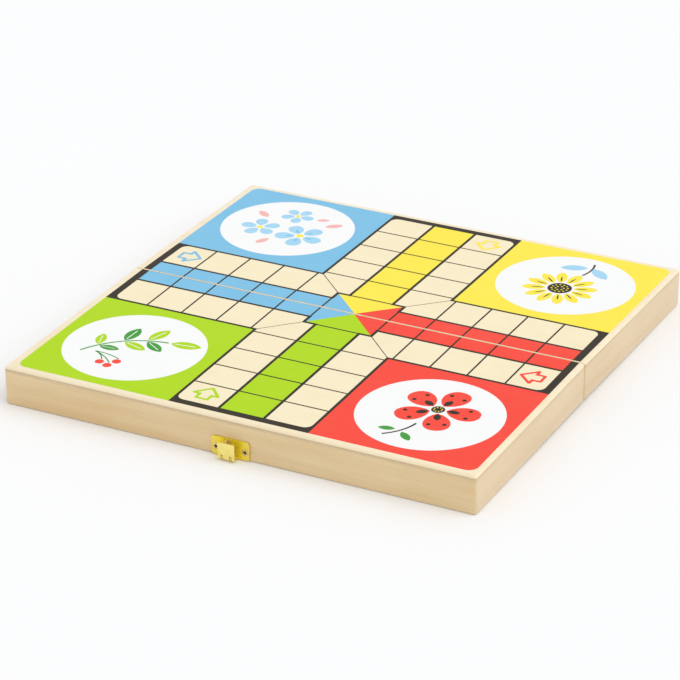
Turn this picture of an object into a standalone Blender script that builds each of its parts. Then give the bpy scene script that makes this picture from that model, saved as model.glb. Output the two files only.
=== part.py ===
"""Folding game board box, in metres, with +Z up.

Two shallow wooden halves are hinged along a seam. Open flat they are a square game board, and folded
underside to underside they are a closed box with a hollow for the playing pieces. The seam runs along X.
The front half, which carries the clasp, is at -Y, and the back half, which carries the catch, is at +Y.

Each half is built in its own frame: the origin is on the fold axis at the middle of the seam, the outer
rail is at -Y, and the rims lie a little above the axis. The back half's frame is turned half round.

The hinge knuckles stand proud of the rims. So the open board stands on a table on the knuckles and the
two outer rims, with each half tilted down a little from the seam, and that is how it is modelled here.
"""

import math

import bmesh
import bpy
from mathutils import Matrix, Vector

# The board and its two halves.
board_width = 0.300
board_depth = 0.300
half_height = 0.024
panel_thickness = 0.0030
rail_thickness = 0.0080
outer_corner_radius = 0.0015
play_edge_radius = 0.0020
rim_edge_radius = 0.0008
seam_edge_radius = 0.0004

# Gaps between pieces that meet, and how far a cutter runs past what it cuts.
glue_gap = 0.0003
seam_gap = 0.0004
rim_gap = 0.0004
swing_gap = 0.0003
overrun = 0.0020

# The two hinges in the seam, each set in from its end of the seam.
hinge_end_margin = 0.045
hinge_length = 0.0200
hinge_leaf_reach = 0.0068
hinge_sheet = 0.0007
hinge_pin_radius = 0.0005
hinge_screw_spacing = 0.0120
hinge_tab_inset = 0.0002
hinge_notch_end_gap = 0.0005

# The clasp on the front half and the catch on the back half.
clasp_middle_x = -0.0008
clasp_plate_width = 0.0240
clasp_plate_height = 0.0115
clasp_plate_corner_radius = 0.0015
clasp_sheet = 0.0008
clasp_rim_offset = 0.0004
clasp_curl_lift = 0.0002
clasp_stand_off = 0.0023
clasp_flap_width = 0.0106
clasp_flap_reach = 0.0093
clasp_ear_offset = 0.0027
clasp_pin_radius = 0.0006
clasp_screw_spacing = 0.0186
clasp_side_screw_drop = 0.0008
clasp_top_screw_margin = 0.0026
clasp_top_screw_offset = 0.0014
catch_plate_height = 0.0110
catch_lip_width = 0.0080
catch_lip_thickness = 0.0008
pin_clearance = 0.0001

# Screws: small ones in the hinges, larger ones in the clasp and the catch.
hinge_screw_head_radius = 0.0014
hinge_screw_shank_radius = 0.0008
hinge_screw_length = 0.0060
clasp_screw_head_radius = 0.0021
clasp_screw_shank_radius = 0.0010
clasp_screw_length = 0.0065
screw_point_length = 0.0016
screw_clearance = 0.0002
recess_width_share = 0.30
recess_depth = 0.0004
recess_reach_share = 0.62

# How finely round shapes are cut.
turned_steps = 20
pin_steps = 24
corner_steps = 4
edge_steps = 4
weld_distance = 1e-7
flat_angle = math.radians(0.5)
sharp_angle = math.radians(30)

# Turns a profile drawn in X and Y, with its thickness along Z, so that it lies in Y and Z.
axes_yz_to_xy = Matrix(((0, 0, 1, 0), (1, 0, 0, 0), (0, 1, 0, 0), (0, 0, 0, 1)))

# What follows from the sizes above.
half_depth = (board_depth - seam_gap) / 2
rim_z = rim_gap / 2
seam_y = -seam_gap / 2
outer_y = seam_y - half_depth
rail_height = half_height - panel_thickness - glue_gap
hinge_middle_x = board_width / 2 - hinge_end_margin - hinge_length / 2
hinge_bore_radius = hinge_pin_radius + pin_clearance
hinge_knuckle_radius = hinge_bore_radius + hinge_sheet
clasp_bore_radius = clasp_pin_radius + pin_clearance
clasp_curl_radius = clasp_bore_radius + clasp_sheet
clasp_plate_y = outer_y - glue_gap
clasp_plate_face_y = clasp_plate_y - clasp_sheet
clasp_pin_y = clasp_plate_face_y - clasp_stand_off - clasp_curl_radius
clasp_pin_z = rim_z + clasp_rim_offset + clasp_curl_lift + clasp_curl_radius
clasp_plate_middle_z = rim_z + clasp_rim_offset + clasp_plate_height / 2
catch_plate_middle_z = rim_z + clasp_rim_offset + catch_plate_height / 2
# The catch's lip stands just past the path of the flap's free edge, and as far out as the closed flap.
catch_lip_z = math.hypot(clasp_flap_reach, clasp_curl_radius) + swing_gap - clasp_pin_z
catch_lip_height = clasp_stand_off + clasp_sheet

# Each half tilts until the rounded edge of its outer rim touches the table that the knuckles stand on.
rim_edge_y = outer_y + rim_edge_radius
rim_edge_z = rim_z + rim_edge_radius
knuckle_drop = hinge_knuckle_radius - rim_edge_radius
rim_edge_reach = math.hypot(rim_edge_y, rim_edge_z)
board_tilt = math.atan2(rim_edge_z, -rim_edge_y) + math.asin(knuckle_drop / rim_edge_reach)


def reach_from_seam(y, z):
    """How far out from the seam, along the table, a point of a tilted half lies."""
    return z * math.sin(board_tilt) - y * math.cos(board_tilt)


# The origin lies on the table, in the middle of the object's box, which runs from the flap to the lip.
flap_tip = (clasp_pin_y - clasp_curl_radius, clasp_pin_z + clasp_flap_reach)
lip_tip = (clasp_plate_face_y - catch_lip_height, catch_lip_z + catch_lip_thickness)
fold_axis_y = (reach_from_seam(*flap_tip) - reach_from_seam(*lip_tip)) / 2
fold_axis = Vector((0, fold_axis_y, hinge_knuckle_radius))

pale_wood = (0.80, 0.63, 0.42)
board_face = (0.90, 0.78, 0.58)
brass = (0.86, 0.66, 0.16)
hinge_brass = (0.74, 0.56, 0.20)
steel = (0.72, 0.69, 0.64)


def clear_scene():
    for obj in list(bpy.data.objects):
        bpy.data.objects.remove(obj)


def new_collection(name):
    collection = bpy.data.collections.new(name)
    bpy.context.scene.collection.children.link(collection)
    return collection


def finish_of(name, colour, roughness, metallic):
    """A Principled material."""
    material = bpy.data.materials.new(name)
    material.use_nodes = True
    shader = material.node_tree.nodes["Principled BSDF"]
    shader.inputs["Base Color"].default_value = (*colour, 1)
    shader.inputs["Roughness"].default_value = roughness
    shader.inputs["Metallic"].default_value = metallic
    return material


def own_frame(name, yaw):
    """An empty on the fold axis that carries one half's pieces and tilts them."""
    frame = bpy.data.objects.new(name, None)
    frame.location = fold_axis
    frame.rotation_euler = (board_tilt, 0, yaw)
    bpy.context.scene.collection.objects.link(frame)
    return frame


def add_piece(name, mesh, frame, place=(0, 0, 0), turn=(0, 0, 0), finish=None):
    """A named sub-part with its own material, placed in its half's frame."""
    piece = bpy.data.objects.new(name, mesh)
    piece.parent = frame
    piece.location = place
    piece.rotation_euler = turn
    parts.objects.link(piece)
    if finish:
        mesh.materials.append(finish_of(name, *finish))
    return piece


def add_cutter(name, mesh, frame, place=(0, 0, 0), turn=(0, 0, 0)):
    """A helper that a Boolean cuts with or joins on. It isn't a part itself."""
    cutter = bpy.data.objects.new(name, mesh)
    cutter.parent = frame
    cutter.location = place
    cutter.rotation_euler = turn
    cutter.hide_render = True
    cutter.display_type = "WIRE"
    cutters.objects.link(cutter)
    return cutter


def combine(piece, other, operation):
    modifier = piece.modifiers.new(f"{operation.lower()} {other.name}", "BOOLEAN")
    modifier.operation = operation
    modifier.solver = "EXACT"
    modifier.object = other


def cut(piece, *others):
    for other in others:
        combine(piece, other, "DIFFERENCE")


def join(piece, *others):
    for other in others:
        combine(piece, other, "UNION")


def box_mesh(name, low, high):
    """A box between two corners."""
    low, high = Vector(low), Vector(high)
    size = high - low
    shape = bmesh.new()
    bmesh.ops.create_cube(shape, size=1)
    bmesh.ops.scale(shape, verts=shape.verts, vec=size)
    bmesh.ops.translate(shape, verts=shape.verts, vec=(low + high) / 2)
    mesh = bpy.data.meshes.new(name)
    shape.to_mesh(mesh)
    shape.free()
    return mesh


def rod_mesh(name, radius, length):
    """A round rod along X, centred on the origin."""
    shape = bmesh.new()
    bmesh.ops.create_cone(
        shape, cap_ends=True, segments=pin_steps, radius1=radius, radius2=radius, depth=length
    )
    bmesh.ops.rotate(shape, verts=shape.verts, matrix=Matrix.Rotation(math.pi / 2, 3, "Y"))
    mesh = bpy.data.meshes.new(name)
    shape.to_mesh(mesh)
    shape.free()
    mesh.shade_smooth()
    mesh.set_sharp_from_angle(angle=sharp_angle)
    return mesh


def arc(centre_x, centre_y, radius, start, end, steps=corner_steps):
    """Points along an arc, from one angle in degrees to another."""
    angles = (math.radians(start + (end - start) * step / steps) for step in range(steps + 1))
    return [(centre_x + radius * math.cos(a), centre_y + radius * math.sin(a)) for a in angles]


def mesh_of(obj):
    """The object's evaluated mesh, welded, with its flat faces whole. The object itself is removed."""
    bpy.context.view_layer.update()
    graph = bpy.context.evaluated_depsgraph_get()
    mesh = bpy.data.meshes.new_from_object(obj.evaluated_get(graph))
    shape = bmesh.new()
    shape.from_mesh(mesh)
    bmesh.ops.remove_doubles(shape, verts=shape.verts, dist=weld_distance)
    bmesh.ops.dissolve_limit(shape, angle_limit=flat_angle, verts=shape.verts, edges=shape.edges)
    bmesh.ops.recalc_face_normals(shape, faces=shape.faces)
    shape.to_mesh(mesh)
    shape.free()
    bpy.data.objects.remove(obj)
    return mesh


def outline_mesh(name, points, thickness):
    """A flat outline with a thickness, from z = 0 up."""
    curve = bpy.data.curves.new(name, "CURVE")
    curve.dimensions = "2D"
    curve.fill_mode = "BOTH"
    curve.extrude = thickness / 2
    spline = curve.splines.new("POLY")
    spline.points.add(len(points) - 1)
    for point, (x, y) in zip(spline.points, points):
        point.co = (x, y, 0, 1)
    spline.use_cyclic_u = True
    guide = bpy.data.objects.new(name, curve)
    bpy.context.scene.collection.objects.link(guide)
    mesh = mesh_of(guide)
    mesh.transform(Matrix.Translation((0, 0, thickness / 2)))
    return mesh


def turned_mesh(name, profile):
    """A profile of (radius, z) points, from the top down its outer side, turned about Z."""
    mesh = bpy.data.meshes.new(name)
    mesh.from_pydata([(r, 0, z) for r, z in profile], [(i, i + 1) for i in range(len(profile) - 1)], [])
    guide = bpy.data.objects.new(name, mesh)
    bpy.context.scene.collection.objects.link(guide)
    screw = guide.modifiers.new("turn", "SCREW")
    screw.steps = turned_steps
    screw.render_steps = turned_steps
    screw.use_merge_vertices = True
    screw.merge_threshold = weld_distance
    return mesh_of(guide)


def weigh_edges(mesh, weight_of):
    """Gives each edge the bevel weight that weight_of works out from its two ends."""
    weights = mesh.attributes.new("bevel_weight_edge", "FLOAT", "EDGE")
    for edge in mesh.edges:
        first, second = (mesh.vertices[v].co for v in edge.vertices)
        weights.data[edge.index].value = weight_of(first, second)


def round_weighed_edges(piece, radius):
    bevel = piece.modifiers.new("rounded edges", "BEVEL")
    bevel.limit_method = "WEIGHT"
    bevel.width = radius
    bevel.segments = edge_steps


def rail_mesh(name, length):
    """A rail along X with mitred ends. Its outer face is at y = 0 and its rim at z = 0.

    Each end stops half a glue gap short of the mitre's plane, and the outer corner's round is shared
    with the next rail.
    """
    radius = outer_corner_radius
    inset = glue_gap / math.sqrt(2)
    skew = math.degrees(math.asin(glue_gap / 2 / radius))
    reach = length / 2
    left_tip = arc(radius - reach, radius, radius, 225 + skew, 270)
    right_tip = arc(reach - radius, radius, radius, 270, 315 - skew)
    inner = reach - rail_thickness - inset
    outline = [(-inner, rail_thickness), *left_tip, *right_tip, (inner, rail_thickness)]
    mesh = outline_mesh(name, outline, rail_height)

    def outer_rim(first, second):
        on_rim = max(first.z, second.z) < rim_edge_radius
        on_outside = max(first.y, second.y) < rail_thickness / 2
        return 1 if on_rim and on_outside else 0

    weigh_edges(mesh, outer_rim)
    return mesh


def add_rail(name, frame, length, middle, yaw):
    """A mitred rail whose outer face's middle is at the given place on the rim, turned by yaw."""
    mesh = rail_mesh(name, length)
    rail = add_piece(name, mesh, frame, (*middle, rim_z), (0, 0, yaw), (pale_wood, 0.45, 0))
    round_weighed_edges(rail, rim_edge_radius)
    return rail


def add_panel(name, frame):
    """The plywood panel on top of the rails, with its outer top edges rounded over."""
    low = Vector((-board_width / 2, outer_y, rim_z + half_height - panel_thickness))
    high = Vector((board_width / 2, seam_y, rim_z + half_height))
    mesh = box_mesh(name, low, high)

    def edge_weight(first, second):
        upright = abs(first.z - second.z) > panel_thickness / 2
        on_top = min(first.z, second.z) > high.z - panel_thickness / 2
        on_seam = min(first.y, second.y) > high.y - half_depth / 2
        if upright:
            return outer_corner_radius / play_edge_radius
        if on_top:
            return seam_edge_radius / play_edge_radius if on_seam else 1
        return 0

    weigh_edges(mesh, edge_weight)
    panel = add_piece(name, mesh, frame, finish=(board_face, 0.25, 0))
    round_weighed_edges(panel, play_edge_radius)
    return panel


def add_half(side, frame):
    """Four mitred rails and the panel glued on them. Returns the outer rail and the seam rail."""
    left, right = ("left", "right") if side == "front" else ("right", "left")
    middle_y = (outer_y + seam_y) / 2
    outer = add_rail(f"{side}_outer_rail", frame, board_width, (0, outer_y), 0)
    add_rail(f"{side}_{right}_rail", frame, half_depth, (board_width / 2, middle_y), math.pi / 2)
    seam = add_rail(f"{side}_seam_rail", frame, board_width, (0, seam_y), math.pi)
    add_rail(f"{side}_{left}_rail", frame, half_depth, (-board_width / 2, middle_y), -math.pi / 2)
    add_panel(f"{side}_play_panel", frame)
    return outer, seam


def screw_profile(head_radius, shank_radius, length):
    """A countersunk wood screw's outline, with the top of its head at z = 0."""
    head_depth = head_radius - shank_radius
    return [
        (0, 0),
        (head_radius, 0),
        (shank_radius, -head_depth),
        (shank_radius, -length + screw_point_length),
        (0, -length),
    ]


def hole_profile(head_radius, shank_radius, length):
    """The hole for that screw: the same outline, wider by the clearance and open at the top."""
    head_depth = head_radius - shank_radius
    wide_head = head_radius + screw_clearance
    wide_shank = shank_radius + screw_clearance
    return [
        (0, overrun),
        (wide_head, overrun),
        (wide_head, screw_clearance),
        (wide_shank, -head_depth),
        (wide_shank, -length + screw_point_length),
        (0, -length - screw_clearance),
    ]


def screw_mesh(name, head_radius, shank_radius, length):
    """A countersunk screw with a cross recess in its head."""
    shape = turned_mesh(name, screw_profile(head_radius, shank_radius, length))
    blank = bpy.data.objects.new(name, shape)
    bpy.context.scene.collection.objects.link(blank)
    reach = head_radius * recess_reach_share
    half_width = head_radius * recess_width_share / 2
    arms = []
    for across, along in ((reach, half_width), (half_width, reach)):
        mesh = box_mesh(f"{name} recess", (-across, -along, -recess_depth), (across, along, overrun))
        arms.append(add_cutter(f"{name} recess", mesh, None))
    cut(blank, *arms)
    mesh = mesh_of(blank)
    for arm in arms:
        bpy.data.objects.remove(arm)
    mesh.shade_smooth()
    mesh.set_sharp_from_angle(angle=sharp_angle)
    return mesh


def add_screw(name, kind, frame, place, turn, finish, held_pieces):
    """A screw of one kind with its head's top at the place, and its hole in the pieces that it holds."""
    add_piece(name, screw_meshes[kind].copy(), frame, place, turn, finish)
    hole = add_cutter(f"{name} hole", hole_meshes[kind], frame, place, turn)
    for piece in held_pieces:
        cut(piece, hole)


def hinge_knuckles(side):
    """Middle and length of each knuckle of one leaf. Of the three, the front leaf has the outer two."""
    length = (hinge_length - 2 * swing_gap) / 3
    step = length + swing_gap
    return [(-step, length), (step, length)] if side == "front" else [(0, length)]


def hinge_leaf_mesh(name, side):
    """The leaf's flat sheet, with a tab that reaches over the pin at each of its knuckles."""
    half = hinge_length / 2
    inner_y = -hinge_knuckle_radius - swing_gap
    outline = [(-half, inner_y), (-half, -hinge_leaf_reach), (half, -hinge_leaf_reach), (half, inner_y)]
    for middle, length in reversed(hinge_knuckles(side)):
        tab = length / 2 - hinge_tab_inset
        right, left = middle + tab, middle - tab
        outline += [(right, inner_y), (right, 0), (left, 0), (left, inner_y)]
    return outline_mesh(name, outline, hinge_sheet)


def add_hinge_leaf(name, side, frame, hinge_x, seam_rail):
    """A leaf let in flush with the seam rail's rim, with its knuckles round the pin."""
    mesh = hinge_leaf_mesh(name, side)
    leaf = add_piece(name, mesh, frame, (hinge_x, 0, rim_z), finish=(hinge_brass, 0.3, 1))
    for number, (middle, length) in enumerate(hinge_knuckles(side), 1):
        knuckle = rod_mesh(f"{name} knuckle", hinge_knuckle_radius, length)
        join(leaf, add_cutter(f"{name} knuckle {number}", knuckle, frame, (hinge_x + middle, 0, 0)))
    bore = rod_mesh(f"{name} bore", hinge_bore_radius, hinge_length + overrun)
    cut(leaf, add_cutter(f"{name} bore", bore, frame, (hinge_x, 0, 0)))
    cut_hinge_seat(name, frame, hinge_x, seam_rail)
    return leaf


def cut_hinge_seat(name, frame, hinge_x, seam_rail):
    """The mortise for a leaf and the rounded notch for the knuckles, in the seam rail."""
    half = hinge_length / 2 + glue_gap
    mortise = box_mesh(
        f"{name} mortise",
        (-half, -hinge_leaf_reach - glue_gap, rim_z - overrun),
        (half, overrun, rim_z + hinge_sheet + glue_gap),
    )
    notch_length = hinge_length + 2 * hinge_notch_end_gap
    notch = rod_mesh(f"{name} notch", hinge_knuckle_radius + swing_gap, notch_length)
    cut(
        seam_rail,
        add_cutter(f"{name} mortise", mortise, frame, (hinge_x, 0, 0)),
        add_cutter(f"{name} notch", notch, frame, (hinge_x, 0, 0)),
    )


def add_hinge(hand, hinge_x, front_frame, back_frame, front_seam, back_seam):
    """One butt hinge: two leaves, the pin, and two screws in each leaf."""
    pin = rod_mesh(f"{hand}_hinge_pin", hinge_pin_radius, hinge_length)
    add_piece(f"{hand}_hinge_pin", pin, front_frame, (hinge_x, 0, 0), finish=(hinge_brass, 0.3, 1))
    halves = (("front", front_frame, hinge_x, front_seam), ("back", back_frame, -hinge_x, back_seam))
    for side, frame, own_x, seam_rail in halves:
        leaf = add_hinge_leaf(f"{hand}_hinge_{side}_leaf", side, frame, own_x, seam_rail)
        screw_y = (-hinge_leaf_reach - hinge_knuckle_radius) / 2
        for number, offset in ((1, -hinge_screw_spacing / 2), (2, hinge_screw_spacing / 2)):
            add_screw(
                f"{hand}_hinge_{side}_screw_{number}",
                "hinge",
                frame,
                (own_x + offset, screw_y, rim_z),
                (math.pi, 0, 0),
                (hinge_brass, 0.3, 1),
                (leaf, seam_rail),
            )


def plate_mesh(name, width, height):
    """A sheet-metal plate with rounded corners, standing in XZ, centred, with its back at y = 0."""
    radius = clasp_plate_corner_radius
    across, up = width / 2 - radius, height / 2 - radius
    outline = [
        *arc(across, up, radius, 0, 90),
        *arc(-across, up, radius, 90, 180),
        *arc(-across, -up, radius, 180, 270),
        *arc(across, -up, radius, 270, 360),
    ]
    mesh = outline_mesh(name, outline, clasp_sheet)
    mesh.transform(Matrix.Rotation(math.pi / 2, 4, "X"))
    return mesh


def side_mesh(name, profile, width):
    """A profile of (y, z) points, extended along X and centred on x = 0."""
    mesh = outline_mesh(name, profile, width)
    mesh.transform(Matrix.Translation((-width / 2, 0, 0)) @ axes_yz_to_xy)
    return mesh


def add_clasp_plate(frame):
    """The plate with the two ears that hold the flap's pin."""
    mesh = plate_mesh("clasp_plate", clasp_plate_width, clasp_plate_height)
    middle = (clasp_middle_x, clasp_plate_y, clasp_plate_middle_z)
    plate = add_piece("clasp_plate", mesh, frame, middle, finish=(brass, 0.22, 1))
    root_y = clasp_plate_y - clasp_sheet / 2 - clasp_pin_y
    round_end = arc(0, 0, clasp_curl_radius, 90, 270, pin_steps // 2)
    profile = [(root_y, clasp_curl_radius), *round_end, (root_y, -clasp_curl_radius)]
    for hand, x in (("left", -clasp_ear_offset), ("right", clasp_ear_offset)):
        ear = side_mesh(f"{hand} ear", profile, clasp_sheet)
        place = (clasp_middle_x + x, clasp_pin_y, clasp_pin_z)
        join(plate, add_cutter(f"{hand} ear", ear, frame, place))
    bore = rod_mesh("clasp bore", clasp_bore_radius, clasp_plate_width)
    cut(plate, add_cutter("clasp bore", bore, frame, (clasp_middle_x, clasp_pin_y, clasp_pin_z)))
    return plate


def add_clasp_flap(frame):
    """The flap, whose lower edge is curled round the pin, with a slot for each of the plate's ears.

    The slots reach far enough up the flap to clear the ears when it is turned right over. The
    flap's origin is on the pin's axis.
    """
    radius = clasp_curl_radius
    inner_y = clasp_sheet - radius
    curl_end = 540 - math.degrees(math.acos(-inner_y / radius))
    curl = arc(0, 0, radius, 180, curl_end, pin_steps)
    profile = [(-radius, clasp_flap_reach), *curl, (inner_y, clasp_flap_reach)]
    place = (clasp_middle_x, clasp_pin_y, clasp_pin_z)
    flap_shape = side_mesh("clasp_flap", profile, clasp_flap_width)
    flap = add_piece("clasp_flap", flap_shape, frame, place, finish=(brass, 0.22, 1))
    bore = rod_mesh("flap bore", clasp_bore_radius, clasp_flap_width + overrun)
    cut(flap, add_cutter("flap bore", bore, frame, place))
    slot_half_width = clasp_sheet / 2 + swing_gap
    reach = radius + overrun
    for hand, x in (("left", -clasp_ear_offset), ("right", clasp_ear_offset)):
        low = (x - slot_half_width, -reach, -reach)
        high = (x + slot_half_width, reach, radius + swing_gap)
        slot = box_mesh(f"{hand} ear slot", low, high)
        cut(flap, add_cutter(f"{hand} ear slot", slot, frame, place))


def add_clasp(frame, outer_rail):
    """The clasp on the front half: a plate with three screws, and a flap on a pin."""
    plate = add_clasp_plate(frame)
    add_clasp_flap(frame)
    pin = rod_mesh("clasp_pin", clasp_pin_radius, clasp_flap_width)
    pin_place = (clasp_middle_x, clasp_pin_y, clasp_pin_z)
    add_piece("clasp_pin", pin, frame, pin_place, finish=(brass, 0.3, 1))
    side_z = clasp_plate_middle_z - clasp_side_screw_drop
    top_z = clasp_plate_middle_z + clasp_plate_height / 2 - clasp_top_screw_margin
    places = {
        "left": (-clasp_screw_spacing / 2, side_z),
        "right": (clasp_screw_spacing / 2, side_z),
        "top": (-clasp_top_screw_offset, top_z),
    }
    for hand, (x, z) in places.items():
        add_plate_screw(f"clasp_{hand}_screw", frame, clasp_middle_x + x, z, plate, outer_rail)


def add_catch(frame, outer_rail):
    """The catch on the back half: a plate with a lip, past which the flap's free edge closes."""
    middle_x = -clasp_middle_x
    mesh = plate_mesh("catch_plate", clasp_plate_width, catch_plate_height)
    middle = (middle_x, clasp_plate_y, catch_plate_middle_z)
    plate = add_piece("catch_plate", mesh, frame, middle, finish=(brass, 0.22, 1))
    lip = box_mesh(
        "catch lip",
        (middle_x - catch_lip_width / 2, clasp_plate_face_y - catch_lip_height, catch_lip_z),
        (middle_x + catch_lip_width / 2, clasp_plate_y - clasp_sheet / 2, catch_lip_z + catch_lip_thickness),
    )
    join(plate, add_cutter("catch lip", lip, frame))
    for hand, x in (("left", clasp_screw_spacing / 2), ("right", -clasp_screw_spacing / 2)):
        add_plate_screw(f"catch_{hand}_screw", frame, middle_x + x, catch_plate_middle_z, plate, outer_rail)


def add_plate_screw(name, frame, x, z, plate, rail):
    """A screw through a plate into the outer rail, with its head flush with the plate."""
    place = (x, clasp_plate_face_y, z)
    add_screw(name, "clasp", frame, place, (math.pi / 2, 0, 0), (steel, 0.3, 1), (plate, rail))


clear_scene()
parts = new_collection("folding_board_box")
cutters = new_collection("cutters")

hinge_screw = (hinge_screw_head_radius, hinge_screw_shank_radius, hinge_screw_length)
clasp_screw = (clasp_screw_head_radius, clasp_screw_shank_radius, clasp_screw_length)
screw_meshes = {
    "hinge": screw_mesh("hinge screw", *hinge_screw),
    "clasp": screw_mesh("clasp screw", *clasp_screw),
}
hole_meshes = {
    "hinge": turned_mesh("hinge screw hole", hole_profile(*hinge_screw)),
    "clasp": turned_mesh("clasp screw hole", hole_profile(*clasp_screw)),
}

front_half = own_frame("front_half_frame", 0)
back_half = own_frame("back_half_frame", math.pi)
front_outer, front_seam = add_half("front", front_half)
back_outer, back_seam = add_half("back", back_half)
for hand, hinge_x in (("left", -hinge_middle_x), ("right", hinge_middle_x)):
    add_hinge(hand, hinge_x, front_half, back_half, front_seam, back_seam)
add_clasp(front_half, front_outer)
add_catch(back_half, back_outer)
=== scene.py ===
import math

import bpy
from mathutils import Matrix, Vector


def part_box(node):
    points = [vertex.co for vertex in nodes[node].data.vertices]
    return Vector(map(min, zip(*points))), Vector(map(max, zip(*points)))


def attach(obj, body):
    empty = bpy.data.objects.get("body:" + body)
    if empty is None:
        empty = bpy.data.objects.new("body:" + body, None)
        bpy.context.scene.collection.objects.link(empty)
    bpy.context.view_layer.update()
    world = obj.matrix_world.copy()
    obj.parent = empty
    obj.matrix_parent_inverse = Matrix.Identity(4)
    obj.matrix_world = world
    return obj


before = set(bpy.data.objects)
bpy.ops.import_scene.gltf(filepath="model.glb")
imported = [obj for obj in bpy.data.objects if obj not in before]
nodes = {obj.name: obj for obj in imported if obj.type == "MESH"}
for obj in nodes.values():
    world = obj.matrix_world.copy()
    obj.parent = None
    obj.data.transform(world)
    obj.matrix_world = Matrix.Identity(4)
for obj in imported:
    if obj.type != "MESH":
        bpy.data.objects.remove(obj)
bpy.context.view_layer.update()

# The rails: four to each half, of pale softwood 8 mm thick, mitred and glued at the corners. Their
# grain runs along them, and a clear satin varnish warms the wood and leaves it a little glossy.
rails_along = ("front_outer_rail", "front_seam_rail", "back_outer_rail", "back_seam_rail")
rails_across = ("front_left_rail", "front_right_rail", "back_left_rail", "back_right_rail")
# Painted shade: the rails across get a darker, greyer copy of the wood than the rails along.
rail_along_pale, rail_along_warm = (0.83, 0.65, 0.38), (0.70, 0.46, 0.20)
rail_across_shaded_pale, rail_across_shaded_warm = (0.77, 0.62, 0.40), (0.66, 0.46, 0.25)
rail_figure = 0.62
rail_roughness = (0.38, 0.52)
rail_bump = (0.35, 0.00012)
rail_coat = {"Coat_Weight": 0.35, "Coat_Roughness": 0.16}
rail_edge_ease = 0.00012
grain_origin = (0.37, 0.11, 0.05)
fibre_scale = (22, 900, 900)
band_scale = (4, 120, 120)
cloud_scale = (16, 34, 34)
fleck_scale = (170, 3000, 3000)
fibre_tone = (0.40, 0.72, 0, 0.30)
band_tone = (0.35, 0.70, 0, 0.55)
cloud_tone = (0.35, 0.68, 0, 0.5)
fleck_tone = (0.66, 0.78, 0, 0.35)
fleck_colour = (0.42, 0.27, 0.13)
noise_span = (0.3, 0.7)
weld_reach = 1e-6
eased_above = math.radians(50)
smooth_below = math.radians(32)


def add_node(tree, kind, inputs=(), **settings):
    """A node in a tree, with its settings and the plain values or links of its inputs."""
    node = tree.nodes.new(kind)
    for name, value in settings.items():
        setattr(node, name, value)
    for name, value in dict(inputs).items():
        if isinstance(value, bpy.types.NodeSocket):
            tree.links.new(value, node.inputs[name])
        else:
            node.inputs[name].default_value = value
    return node


def scaled_noise(tree, place, scale, detail, roughness=0.5):
    """Noise that is stretched by a scale of its own along each axis, in features per metre."""
    stretched = add_node(tree, "ShaderNodeVectorMath", {0: place, 1: scale}, operation="MULTIPLY")
    values = {"Vector": stretched.outputs[0], "Scale": 1.0, "Detail": detail, "Roughness": roughness}
    return add_node(tree, "ShaderNodeTexNoise", values).outputs["Fac"]


def ranged(tree, value, low, high, to_low=0.0, to_high=1.0):
    """A value from one range, brought into another and held there."""
    values = {"Value": value, "From Min": low, "From Max": high, "To Min": to_low, "To Max": to_high}
    return add_node(tree, "ShaderNodeMapRange", values).outputs["Result"]


def combined(tree, first, second, operation="ADD"):
    """Two values added, or brought together by another operation."""
    return add_node(tree, "ShaderNodeMath", {0: first, 1: second}, operation=operation).outputs[0]


def mixed(tree, factor, first, second):
    """Two colours mixed by a factor. The node has its colour sockets after the plain ones."""
    values = {0: factor, 6: first, 7: second}
    return add_node(tree, "ShaderNodeMix", values, data_type="RGBA").outputs[2]


def feed(tree, node, **sources):
    """Links values to a node's inputs."""
    for socket, source in sources.items():
        tree.links.new(source, node.inputs[socket.replace("_", " ")])


def new_group(name, inputs, outputs):
    """A shader node group with named inputs and outputs. Returns it with its two end nodes."""
    group = bpy.data.node_groups.new(name, "ShaderNodeTree")
    for socket, kind in inputs.items():
        group.interface.new_socket(socket, in_out="INPUT", socket_type=f"NodeSocket{kind}")
    for socket, kind in outputs.items():
        group.interface.new_socket(socket, in_out="OUTPUT", socket_type=f"NodeSocket{kind}")
    return group, group.nodes.new("NodeGroupInput"), group.nodes.new("NodeGroupOutput")


def make_wood_grain():
    """Pale wood with its fibres along X: fine fibres, growth bands, soft clouds and dark flecks.

    Each tone takes a span of its noise to the share of the darker colour that it brings.
    """
    inputs = {"Place": "Vector", "Pale": "Color", "Warm": "Color", "Figure": "Float"}
    group, given, made = new_group("wood grain", inputs, {"Color": "Color", "Fibre": "Float"})
    place = given.outputs["Place"]
    fibre = scaled_noise(group, place, fibre_scale, 4, 0.6)
    bands = scaled_noise(group, place, band_scale, 3, 0.55)
    clouds = scaled_noise(group, place, cloud_scale, 2)
    flecks = scaled_noise(group, place, fleck_scale, 1)
    tone = combined(group, ranged(group, bands, *band_tone), ranged(group, clouds, *cloud_tone))
    tone = combined(group, tone, ranged(group, fibre, *fibre_tone))
    tone = combined(group, tone, given.outputs["Figure"], "MULTIPLY")
    wood = mixed(group, tone, given.outputs["Pale"], given.outputs["Warm"])
    wood = mixed(group, ranged(group, flecks, *fleck_tone), wood, (*fleck_colour, 1))
    feed(group, made, Color=wood, Fibre=fibre)
    return group


wood_grain = make_wood_grain()


def grained(tree, place, pale, warm, figure):
    """The grain at a place, in the wood's own two colours and with a share of its full figure."""
    values = {"Place": place, "Pale": (*pale, 1), "Warm": (*warm, 1), "Figure": figure}
    return add_node(tree, "ShaderNodeGroup", values, node_tree=wood_grain)


def new_finish(name, **plain):
    """A material with a Principled shader, whose even values are set on the shader itself."""
    finish = bpy.data.materials.new(name)
    finish.use_nodes = True
    shader = finish.node_tree.nodes["Principled BSDF"]
    for socket, value in plain.items():
        shader.inputs[socket.replace("_", " ")].default_value = value
    return finish, finish.node_tree, shader


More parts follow.
